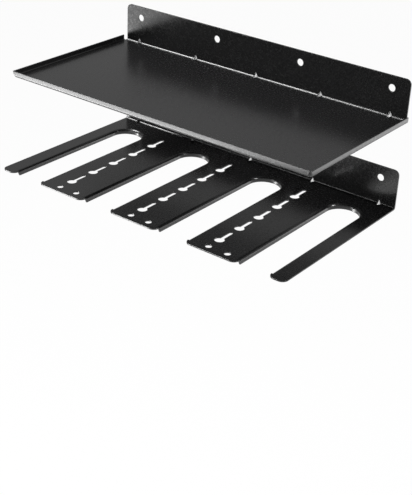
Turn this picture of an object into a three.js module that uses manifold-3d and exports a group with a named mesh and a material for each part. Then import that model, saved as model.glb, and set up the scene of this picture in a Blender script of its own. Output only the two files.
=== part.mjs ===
// A rack for power tools that hangs on a wall: a tray on top for batteries and boxes, and a slotted
// shelf below it that drills hang in by their grips. Each of the two is one folded sheet of steel that
// screws to the wall by itself.
// Millimetres, +Z up. The wall is the plane Y = 0 and the rack stands out from it along -Y. X = 0 is the
// middle of the rack, and Z = 0 is the tray's row of screw holes.
import * as THREE from "three";
import { mergeVertices, toCreasedNormals } from "three/addons/utils/BufferGeometryUtils.js";
import Module from "manifold-3d";

// The sheet and its folds
const sheet = 1.5;
const foldInside = 1.5;
const foldOutside = foldInside + sheet;

// The rack as a whole
const trayWidth = 430;
const shelfPitch = 112; // from the tray's screw line down to the slotted shelf's

// The wall plate, which is the same on both shelves
const plateInset = 4; // the plate is this much narrower than the tray on each side
const plateWidth = trayWidth - 2 * plateInset;
const plateHeight = 50;
const plateCorner = 7;
const plateTop = 15; // above the screw line
const underside = plateTop - plateHeight;

const screwCount = 4;
const screwInset = 23.5; // from the plate's ends to the outer holes
const screwHoleRadius = 4.5;
const screwSpan = plateWidth - 2 * screwInset;

// Triangular gussets pressed into the fold between wall plate and shelf
const gussetCount = 5;
const gussetInset = 21.8; // from the plate's ends to the middle of the outer gussets
const gussetReach = 6; // up the plate and out along the shelf
const gussetWidth = 6.5; // at its foot, on the line of the fold
const gussetRidge = 0.8; // radius of its rounded ridge
const gussetSpan = plateWidth - 2 * gussetInset;

// The tray
const trayDepth = 207;
const rimHeight = 7.5;
const rimNotch = 5; // the side rims stop this far from the wall
const rimCornerGap = 2; // from the outside of a side rim to the end of the front rim
const sideRimGap = 0.8; // from the outside of the front rim to the ends of the side rims
const rimLean = 2.5; // how far the end of a rim leans in from its top to its foot

// The slotted shelf
const deckDepth = 235;
const slotCount = 4;
const slotWidth = 42;
const slotWallGap = 30; // from the wall to the round end of a slot
const stripWidth = 21.25; // outside the first and the last slot
const slotLip = 6.5; // the folded lip round a slot, from the top of the deck down
const slotLipLean = 3; // how far the lip's front end leans back from its top to its foot
const fingerCorner = 8;

const slotSpacing = (plateWidth - 2 * stripWidth - slotWidth) / (slotCount - 1);
const slotCentre = -slotWallGap - slotWidth / 2;
const lipFront = -deckDepth + fingerCorner;

// Holes in each finger between two slots: as many keyholes for screwdrivers as fit in a column up to
// the line of the slots' round ends, and two small holes at the front
const keyholeSpacing = 37.5;
const keyholeFront = 31; // from the front edge to the first round hole
const keyholeColumnShare = 0.372; // of the finger's width, from its left edge
const keyholeRadius = 6;
const keyholeNeck = 5;
const keyholeLength = 23.8; // from the middle of the round hole to the tip of the neck
const smallHoleColumnShare = 0.741; // of the finger's width, from its left edge
const smallHoleFront = 11; // from the front edge
const smallHoleRadius = 4;

const fingerWidth = slotSpacing - slotWidth;
const keyholeRun = deckDepth - keyholeFront - keyholeLength - slotWallGap;
const keyholeCount = Math.floor(keyholeRun / keyholeSpacing) + 1;

// How finely curves are drawn, in steps per half arc
const foldSteps = 2;
const outlineSteps = 10;

const overrun = 1; // how far one solid reaches into or past another that it joins or cuts
const samePoint = 1e-6; // points closer than this are one
const creaseAngle = Math.PI / 6;

const up = new THREE.Vector3(0, 0, 1);
const toRight = new THREE.Vector3(1, 0, 0);
const toLeft = toRight.clone().negate();
const toWall = new THREE.Vector3(0, 1, 0);
const fromWall = toWall.clone().negate();

const blackPowderCoat = new THREE.MeshStandardMaterial({
  color: 0x1b1b1d,
  roughness: 0.5,
  metalness: 0,
});

const wasm = await Module();
wasm.setup();

function solidFrom(geometry) {
  geometry.deleteAttribute("normal");
  geometry.deleteAttribute("uv");
  const merged = mergeVertices(geometry);
  const mesh = new wasm.Mesh({
    numProp: 3,
    vertProperties: merged.attributes.position.array,
    triVerts: Uint32Array.from(merged.index.array),
  });
  return new wasm.Manifold(mesh);
}

function meshFrom(name, solid) {
  const { vertProperties, triVerts } = solid.getMesh();
  const geometry = new THREE.BufferGeometry();
  geometry.setAttribute("position", new THREE.BufferAttribute(vertProperties, 3));
  geometry.setIndex(new THREE.BufferAttribute(triVerts, 1));
  const mesh = new THREE.Mesh(toCreasedNormals(geometry, creaseAngle), blackPowderCoat);
  mesh.name = name;
  return mesh;
}

// A shape whose x and y are turned to the directions across and upward, extruded square to both
function extrude(shape, length, curveSegments, across, upward, origin) {
  const geometry = new THREE.ExtrudeGeometry(shape, { depth: length, bevelEnabled: false, curveSegments });
  const along = new THREE.Vector3().crossVectors(across, upward);
  const placement = new THREE.Matrix4().makeBasis(across, upward, along).setPosition(origin);
  return solidFrom(geometry.applyMatrix4(placement));
}

// count places, evenly spread over span and centred on zero
function spread(count, span) {
  return Array.from({ length: count }, (_, i) => (i / (count - 1) - 0.5) * span);
}

// Section of the sheet folded once at a right angle. Both legs are measured over the outside of the
// fold, where the upright one lies on x = 0 and the flat one on y = 0.
function foldSection(upright, flat) {
  const section = new THREE.Shape();
  section.moveTo(0, upright);
  section.lineTo(0, foldOutside);
  section.absarc(foldOutside, foldOutside, foldOutside, Math.PI, 1.5 * Math.PI, false);
  section.lineTo(flat, 0);
  section.lineTo(flat, sheet);
  section.absarc(foldOutside, foldOutside, foldInside, 1.5 * Math.PI, Math.PI, true);
  section.lineTo(sheet, upright);
  section.closePath();
  return section;
}

// Front view of a wall plate, with its two rounded upper corners and its screw holes
function plateOutline() {
  const right = plateWidth / 2 + overrun;
  const edge = plateWidth / 2;
  const outline = new THREE.Shape();
  outline.moveTo(-right, underside - overrun);
  outline.lineTo(right, underside - overrun);
  outline.lineTo(right, underside + foldOutside);
  outline.lineTo(edge, underside + foldOutside);
  outline.absarc(edge - plateCorner, plateTop - plateCorner, plateCorner, 0, Math.PI / 2, false);
  outline.absarc(-edge + plateCorner, plateTop - plateCorner, plateCorner, Math.PI / 2, Math.PI, false);
  outline.lineTo(-edge, underside + foldOutside);
  outline.lineTo(-right, underside + foldOutside);
  outline.closePath();
  for (const x of spread(screwCount, screwSpan)) {
    outline.holes.push(new THREE.Path().absarc(x, 0, screwHoleRadius, 0, 2 * Math.PI, false));
  }
  return outline;
}

// Wall plate folded out into a flat shelf that ends at the given distance from the wall
function makeFoldedPlate(reach) {
  const bent = extrude(
    foldSection(plateHeight, reach),
    plateWidth,
    foldSteps,
    fromWall,
    up,
    new THREE.Vector3(plateWidth / 2, 0, underside),
  );
  const outline = extrude(
    plateOutline(),
    reach + 2 * overrun,
    outlineSteps,
    toRight,
    up,
    new THREE.Vector3(0, overrun, 0),
  );
  return bent.intersect(outline);
}

// A long wedge with a rounded ridge, whose flanks are those of a gusset. The ridge runs at 45 degrees,
// from the wall plate down to the shelf, and sunk moves it square to itself into the fold.
function makeGussetWedge(x, sunk) {
  const inward = new THREE.Vector3().subVectors(up, toWall).normalize();
  const along = new THREE.Vector3().crossVectors(toRight, inward);
  const ridgeHeight = gussetReach / Math.SQRT2;
  const halfAngle = Math.atan2(gussetWidth / 2, ridgeHeight);
  const depth = ridgeHeight + sheet * Math.SQRT2 + overrun;
  const halfWidth = depth * Math.tan(halfAngle);
  const section = new THREE.Shape();
  section.moveTo(-halfWidth, -depth);
  section.lineTo(halfWidth, -depth);
  section.absarc(0, -gussetRidge / Math.sin(halfAngle), gussetRidge, halfAngle, Math.PI - halfAngle, false);
  section.closePath();
  const origin = new THREE.Vector3(x, -sheet, underside + sheet + gussetReach);
  origin.addScaledVector(inward, -sunk);
  origin.addScaledVector(along, -overrun);
  return extrude(section, gussetReach * Math.SQRT2 + 2 * overrun, foldSteps, toRight, inward, origin);
}

// Presses the gussets into the fold of a shelf: a ridge inside it, with the same form hollow behind it
function pressGussets(shelf) {
  const room = new THREE.Shape();
  const far = foldOutside + gussetReach;
  room.moveTo(sheet / 2, far);
  room.lineTo(sheet / 2, foldOutside);
  room.absarc(foldOutside, foldOutside, foldInside + sheet / 2, Math.PI, 1.5 * Math.PI, false);
  room.lineTo(far, sheet / 2);
  room.lineTo(far, far);
  room.closePath();
  const origin = new THREE.Vector3(plateWidth / 2, 0, underside);
  const insideFold = extrude(room, plateWidth, foldSteps, fromWall, up, origin);
  let pressed = shelf;
  for (const x of spread(gussetCount, gussetSpan)) {
    pressed = pressed.add(makeGussetWedge(x, 0).intersect(insideFold));
    pressed = pressed.subtract(makeGussetWedge(x, sheet * Math.SQRT2));
  }
  return pressed;
}

// A rim folded up from an edge of the tray. It starts at origin, on the outside of its foot, and its
// ends lean in by the given amounts from their top to their foot.
function makeRim(length, flat, startLean, endLean, inward, origin) {
  const along = new THREE.Vector3().crossVectors(inward, up);
  const folded = extrude(foldSection(rimHeight, flat), length, foldSteps, inward, up, origin);
  const startSlope = startLean / rimHeight;
  const endSlope = endLean / rimHeight;
  const face = new THREE.Shape();
  face.moveTo(startLean + startSlope * overrun, -overrun);
  face.lineTo(length - endLean - endSlope * overrun, -overrun);
  face.lineTo(length + endSlope * overrun, rimHeight + overrun);
  face.lineTo(-startSlope * overrun, rimHeight + overrun);
  face.closePath();
  const behind = origin.clone().addScaledVector(inward, flat + overrun);
  return folded.intersect(extrude(face, flat + 2 * overrun, 1, along, up, behind));
}

function makeTray() {
  const halfWidth = trayWidth / 2;
  const frontLength = trayWidth - 2 * rimCornerGap;
  const sideLength = trayDepth - sideRimGap - rimNotch;
  const frontFlat = foldOutside + overrun;
  const sideFlat = plateInset + overrun;
  const frontStart = new THREE.Vector3(-halfWidth + rimCornerGap, -trayDepth, underside);
  const rightStart = new THREE.Vector3(halfWidth, -trayDepth + sideRimGap, underside);
  const leftStart = new THREE.Vector3(-halfWidth, -rimNotch, underside);
  const folded = makeFoldedPlate(trayDepth - foldOutside)
    .add(makeRim(frontLength, frontFlat, rimLean, rimLean, toWall, frontStart))
    .add(makeRim(sideLength, sideFlat, rimLean, 0, toLeft, rightStart))
    .add(makeRim(sideLength, sideFlat, 0, rimLean, toRight, leftStart));
  return meshFrom("upper_shelf", pressGussets(folded));
}

// A round hole with a neck that runs from it toward the wall and ends in a half circle
function keyhole(x, y) {
  const neckAngle = Math.acos(keyholeNeck / 2 / keyholeRadius);
  const path = new THREE.Path();
  path.absarc(x, y, keyholeRadius, neckAngle, -Math.PI - neckAngle, true);
  path.absarc(x, y + keyholeLength - keyholeNeck / 2, keyholeNeck / 2, Math.PI, 0, true);
  path.closePath();
  return path;
}

// Holes of one finger, whose left edge lies at x
function fingerHoles(x) {
  const keyholeX = x + keyholeColumnShare * fingerWidth;
  const smallHoleX = x + smallHoleColumnShare * fingerWidth;
  const holes = [];
  for (let i = 0; i < keyholeCount; i += 1) {
    holes.push(keyhole(keyholeX, -deckDepth + keyholeFront + i * keyholeSpacing));
  }
  for (const column of [keyholeX, smallHoleX]) {
    const hole = new THREE.Path();
    hole.absarc(column, -deckDepth + smallHoleFront, smallHoleRadius, 0, 2 * Math.PI, false);
    holes.push(hole);
  }
  return holes;
}

// Plan of the slotted shelf: its fingers have round corners at the front, and behind these each slot is
// wider by the fold of its lip
function deckOutline(slots) {
  const edge = plateWidth / 2;
  const narrow = slotWidth / 2;
  const wide = slotWidth / 2 + foldOutside;
  const outline = new THREE.Shape();
  outline.moveTo(-edge, overrun);
  outline.lineTo(-edge, lipFront);
  outline.absarc(-edge + fingerCorner, lipFront, fingerCorner, Math.PI, 1.5 * Math.PI, false);
  for (const x of slots) {
    const left = x - narrow - fingerCorner;
    const right = x + narrow + fingerCorner;
    outline.absarc(left, lipFront, fingerCorner, -Math.PI / 2, 0, false);
    outline.lineTo(x - wide, lipFront);
    outline.absarc(x, slotCentre, wide, Math.PI, 0, true);
    outline.lineTo(x + wide, lipFront);
    outline.absarc(right, lipFront, fingerCorner, Math.PI, 1.5 * Math.PI, false);
  }
  outline.absarc(edge - fingerCorner, lipFront, fingerCorner, -Math.PI / 2, 0, false);
  outline.lineTo(edge, overrun);
  outline.closePath();
  for (const x of slots.slice(0, -1)) {
    outline.holes.push(...fingerHoles(x + narrow));
  }
  return outline;
}

// Drops each point of a closed outline that coincides with the one after it
function withoutRepeats(points) {
  return points.filter((point, i) => point.distanceTo(points[(i + 1) % points.length]) > samePoint);
}

// A solid through rings of points, each a copy of the outline, closed at both ends. The outline runs
// counterclockwise where the rings come toward the eye.
function loft(outline, rings) {
  const size = outline.length;
  const positions = rings.flat().flatMap((point) => [point.x, point.y, point.z]);
  const last = (rings.length - 1) * size;
  const triangles = [];
  for (let ring = 0; ring < last; ring += size) {
    for (let i = 0; i < size; i += 1) {
      const here = ring + i;
      const next = ring + ((i + 1) % size);
      triangles.push(here, next, next + size, here, next + size, here + size);
    }
  }
  for (const [a, b, c] of THREE.ShapeUtils.triangulateShape(outline, [])) {
    triangles.push(a, c, b, last + a, last + b, last + c);
  }
  const geometry = new THREE.BufferGeometry();
  geometry.setAttribute("position", new THREE.Float32BufferAttribute(positions, 3));
  geometry.setIndex(triangles);
  return solidFrom(geometry);
}

// The lip that is folded down round a slot, in one run up the left side, round the end and back
function makeSlotLip(x) {
  const upright = withoutRepeats(foldSection(slotLip, foldOutside + overrun).getPoints(foldSteps));
  const hanging = upright.reverse().map((point) => new THREE.Vector2(point.x, -point.y));
  const ring = (angle, y, lean) =>
    hanging.map((point) => {
      const radius = slotWidth / 2 + point.x;
      return new THREE.Vector3(
        x + radius * Math.cos(angle),
        y + radius * Math.sin(angle) - (lean * point.y) / slotLip,
        underside + sheet + point.y,
      );
    });
  const turns = Array.from({ length: 2 * outlineSteps + 1 }, (_, i) => {
    const angle = Math.PI * (1 - i / (2 * outlineSteps));
    return ring(angle, slotCentre, 0);
  });
  const start = ring(Math.PI, lipFront - overrun, slotLipLean);
  const end = ring(0, lipFront - overrun, slotLipLean);
  return loft(hanging, [start, ...turns, end]);
}

function makeSlottedShelf() {
  const slots = spread(slotCount, (slotCount - 1) * slotSpacing);
  const plan = extrude(
    deckOutline(slots),
    plateHeight + 2 * overrun,
    outlineSteps,
    toRight,
    toWall,
    new THREE.Vector3(0, 0, underside - overrun),
  );
  const deck = makeFoldedPlate(deckDepth + overrun).intersect(plan);
  const lipped = slots.reduce((solid, x) => solid.add(makeSlotLip(x)), deck);
  const shelf = meshFrom("lower_shelf", pressGussets(lipped));
  shelf.position.z = -shelfPitch;
  return shelf;
}

const group = new THREE.Group();
group.add(makeTray(), makeSlottedShelf());

export default group;
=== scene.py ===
"""A black powder-coated rack for power tools: a rimmed tray above a slotted shelf, both on a wall.

Metres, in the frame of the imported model: the wall is the plane Y = 0, the rack stands out along -Y,
and Z = 0 is the tray's row of screw holes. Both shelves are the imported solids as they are. Their
folds are shaded smooth, and a powder coat rounds their cut edges.
"""

import math

import bpy
from mathutils import Matrix, Vector

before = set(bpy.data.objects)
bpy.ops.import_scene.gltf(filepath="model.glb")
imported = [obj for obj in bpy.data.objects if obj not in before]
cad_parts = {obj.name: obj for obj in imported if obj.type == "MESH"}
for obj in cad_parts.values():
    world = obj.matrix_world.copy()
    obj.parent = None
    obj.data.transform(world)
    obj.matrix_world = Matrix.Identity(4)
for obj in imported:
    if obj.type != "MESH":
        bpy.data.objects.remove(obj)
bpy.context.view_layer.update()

# The camera, a long lens that looks down on the rack from its right
camera_place = Vector((0.7456, -1.0976, 0.4352))
camera_aim = Vector((-0.5234, 0.7084, -0.4734))
camera_up = Vector((-0.3187, 0.3525, 0.8799))
camera_lens = 98.0
camera_sensor = 36.0
camera_nearest = 0.05

# The sheet: corners this close are one, and edges that turn by more than this angle stay crisp
join_gap = 0.000001
crisp_angle = math.radians(32)

# The powder coat: black, and a little paler where it is thin, on the cut edges that it rounds
coat_black = (0.0045, 0.0045, 0.0047, 1.0)
coat_thin = (0.035, 0.035, 0.036, 1.0)
coat_specular = 0.75
edge_radius = 0.0005
edge_samples = 8

# How fast the paler colour comes on an edge, and its even and its grainy part
edge_gain = 2.5
edge_even = 0.6
edge_grain = 0.8

# The patterns in the coat: spots per metre, detail and roughness of each
grain_pattern = (2600.0, 2.0, 0.5)
peel_pattern = (480.0, 1.0, 0.5)
cloud_pattern = (9.0, 3.0, 0.5)
mottle_pattern = (420.0, 2.0, 0.65)
pattern_middle = 0.5

# How rough the coat is, and how far each pattern changes that
coat_roughness = 0.235
cloud_sheen = 0.10
grain_sheen = 0.04
mottle_sheen = 0.36

# The coat's relief, and the height of the grain and the mottle in it beside that of the peel
coat_relief = 0.00006
coat_relief_strength = 0.32
grain_relief = 0.12
mottle_relief = 2.0

# The stage: a floor below a rack that hangs at eye level, and a surround. Light is what they give,
# and sheen is how bright the coat mirrors them.
white = (1.0, 1.0, 1.0, 1.0)
floor_height = -1.4
floor_size = 18.0
floor_colour = (0.9, 0.9, 0.9, 1.0)
floor_shadow_share = 0.05
floor_sheen = 0.4
surround_light = 0.35
surround_sheen = 0.34

# The softboxes: direction and distance from the rack, then width, height and brightness
rack_middle = Vector((0.0, -0.1, -0.05))
along_wall = Vector((1.0, 0.0, 0.0))
softboxes = {
    "key_upper_left": ((-0.56, -0.17, 0.81), 2.5, 1.05, 1.0, 26.0),
    "low_left_front": ((-0.68, -0.59, -0.43), 2.4, 1.2, 0.3, 17.0),
    "left_front_strip": ((-0.80, -0.58, -0.14), 1.8, 0.35, 0.8, 2.2),
    "near_front_strip": ((-0.45, -0.86, -0.27), 0.5, 0.5, 0.08, 5.0),
    "front_fill": ((-0.42, -0.90, 0.06), 2.15, 0.4, 0.35, 7.0),
    "low_right_back": ((0.5, 0.75, -0.2), 2.0, 0.9, 0.9, 1.6),
    "right_fill": ((0.92, 0.05, 0.38), 2.2, 0.7, 0.6, 20.0),
}

# The colour sockets of a Mix node, by number, as its number and vector sockets share their names
mix_first = 6
mix_second = 7
mix_result = 2


class Value:
    """What a node gives. Sums, differences and products of numbers add Math nodes."""

    def __init__(self, tree, socket):
        self.tree = tree
        self.socket = socket

    def math(self, operation, first, second):
        return self.tree.add("ShaderNodeMath", {"operation": operation}, {0: first, 1: second})

    def __add__(self, other):
        return self.math("ADD", self, other)

    def __radd__(self, other):
        return self.math("ADD", other, self)

    def __sub__(self, other):
        return self.math("SUBTRACT", self, other)

    def __rsub__(self, other):
        return self.math("SUBTRACT", other, self)

    def __mul__(self, other):
        return self.math("MULTIPLY", self, other)

    def __rmul__(self, other):
        return self.math("MULTIPLY", other, self)


class Tree:
    """The nodes of a material or of the world."""

    def __init__(self, owner):
        owner.use_nodes = True
        self.nodes = owner.node_tree.nodes
        self.links = owner.node_tree.links
        self.nodes.clear()

    def add(self, kind, settings=None, inputs=None, output=0):
        """Adds a node with its settings, sets or links its inputs, and returns an output."""
        node = self.nodes.new(kind)
        for name, setting in (settings or {}).items():
            setattr(node, name, setting)
        for name, given in (inputs or {}).items():
            if isinstance(given, Value):
                self.links.new(given.socket, node.inputs[name])
            else:
                node.inputs[name].default_value = given
        return Value(self, node.outputs[output]) if node.outputs else None


def new_material(name):
    material = bpy.data.materials.new(name)
    return material, Tree(material)


def coat_pattern(tree, place, scale, detail, roughness):
    inputs = {"Vector": place, "Scale": scale, "Detail": detail, "Roughness": roughness}
    return tree.add("ShaderNodeTexNoise", {}, inputs)


def powder_coat():
    """Black powder coat: satin and mottled, with a fine grain in an orange peel, thin on edges."""
    material, tree = new_material("black_powder_coat")
    place = tree.add("ShaderNodeTexCoord", output="Object")
    grain = coat_pattern(tree, place, *grain_pattern)
    peel = coat_pattern(tree, place, *peel_pattern)
    cloud = coat_pattern(tree, place, *cloud_pattern)
    mottle = coat_pattern(tree, place, *mottle_pattern)

    rounded = tree.add("ShaderNodeBevel", {"samples": edge_samples}, {"Radius": edge_radius})
    flat = tree.add("ShaderNodeNewGeometry", output="Normal")
    agreement = tree.add(
        "ShaderNodeVectorMath",
        {"operation": "DOT_PRODUCT"},
        {0: rounded, 1: flat},
        output="Value",
    )
    edge = (1 - agreement) * edge_gain * (edge_even + edge_grain * grain)

    colour = tree.add(
        "ShaderNodeMix",
        {"data_type": "RGBA", "clamp_factor": True},
        {"Factor": edge, mix_first: coat_black, mix_second: coat_thin},
        output=mix_result,
    )
    roughness = (
        coat_roughness
        + cloud_sheen * (cloud - pattern_middle)
        + grain_sheen * (grain - pattern_middle)
        + mottle_sheen * (mottle - pattern_middle)
    )
    normal = tree.add(
        "ShaderNodeBump",
        {},
        {
            "Strength": coat_relief_strength,
            "Distance": coat_relief,
            "Height": grain_relief * grain + peel + mottle_relief * mottle,
            "Normal": rounded,
        },
    )
    coat = tree.add(
        "ShaderNodeBsdfPrincipled",
        {},
        {
            "Base Color": colour,
            "Roughness": roughness,
            "Specular IOR Level": coat_specular,
            "Normal": normal,
        },
    )
    tree.add("ShaderNodeOutputMaterial", {}, {"Surface": coat})
    return material


def finish_sheet(shelf, material):
    """Coats a shelf, shades its folds smooth and keeps its cut edges crisp."""
    shelf.data.materials.clear()
    shelf.data.materials.append(material)
    for polygon in shelf.data.polygons:
        polygon.use_smooth = True
    join = shelf.modifiers.new("joined_faces", "WELD")
    join.merge_threshold = join_gap
    split = shelf.modifiers.new("crisp_edges", "EDGE_SPLIT")
    split.split_angle = crisp_angle
    weigh = shelf.modifiers.new("smooth_folds", "WEIGHTED_NORMAL")
    weigh.keep_sharp = False


def ray_kinds(tree):
    """Gives 1 for rays from the camera, also those through glass, and 1 for mirrored rays."""
    seen = tree.add("ShaderNodeLightPath", output="Is Camera Ray")
    mirrored = tree.add("ShaderNodeLightPath", output="Is Glossy Ray")
    through = tree.add("ShaderNodeLightPath", output="Is Transmission Ray")
    return seen + through, mirrored


def make_floor():
    """A pale floor that is seen as white, but for a share of the rack's shadow."""
    bpy.ops.mesh.primitive_plane_add(size=floor_size, location=(0, 0, floor_height))
    floor = bpy.context.object
    floor.name = "floor"
    material, tree = new_material("pale_floor")
    seen, mirrored = ray_kinds(tree)
    paint = tree.add("ShaderNodeBsdfDiffuse", {}, {"Color": floor_colour})
    glow = tree.add("ShaderNodeEmission", {}, {"Color": white, "Strength": 1.0})
    shown = seen * (1 - floor_shadow_share) + mirrored * floor_sheen
    surface = tree.add("ShaderNodeMixShader", {}, {"Fac": shown, 1: paint, 2: glow})
    tree.add("ShaderNodeOutputMaterial", {}, {"Surface": surface})
    floor.data.materials.append(material)


def make_surround():
    """A world that is seen as white, and lights and is mirrored as a grey."""
    world = bpy.data.worlds.new("white_surround")
    bpy.context.scene.world = world
    tree = Tree(world)
    seen, mirrored = ray_kinds(tree)
    strength = surround_light + seen * (1 - surround_light)
    strength = strength + mirrored * (surround_sheen - surround_light)
    background = tree.add("ShaderNodeBackground", {}, {"Color": white, "Strength": strength})
    tree.add("ShaderNodeOutputWorld", {}, {"Surface": background})


def add_softbox(name, direction, distance, width, height, brightness):
    """Sets up a softbox that faces the rack, with its brightness as a surface's, white being 1."""
    light = bpy.data.lights.new(name, "AREA")
    light.shape = "RECTANGLE"
    light.size = width
    light.size_y = height
    light.energy = brightness * math.pi * width * height
    lamp = bpy.data.objects.new(name, light)
    away = Vector(direction).normalized()
    across = (along_wall - away.x * away).normalized()
    turned = Matrix((across, away.cross(across), away)).transposed().to_4x4()
    lamp.matrix_world = Matrix.Translation(rack_middle + distance * away) @ turned
    bpy.context.scene.collection.objects.link(lamp)


def place_camera():
    camera = bpy.data.objects.new("camera", bpy.data.cameras.new("camera"))
    camera.data.sensor_width = camera_sensor
    camera.data.sensor_fit = "HORIZONTAL"
    camera.data.lens = camera_lens
    camera.data.clip_start = camera_nearest
    right = camera_aim.cross(camera_up)
    turned = Matrix((right, camera_up, -camera_aim)).transposed().to_4x4()
    camera.matrix_world = Matrix.Translation(camera_place) @ turned
    bpy.context.scene.collection.objects.link(camera)
    bpy.context.scene.camera = camera


bpy.context.scene.view_settings.view_transform = "Standard"
place_camera()
make_floor()
make_surround()
for name, softbox in softboxes.items():
    add_softbox(name, *softbox)
coat = powder_coat()
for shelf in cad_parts.values():
    finish_sheet(shelf, coat)
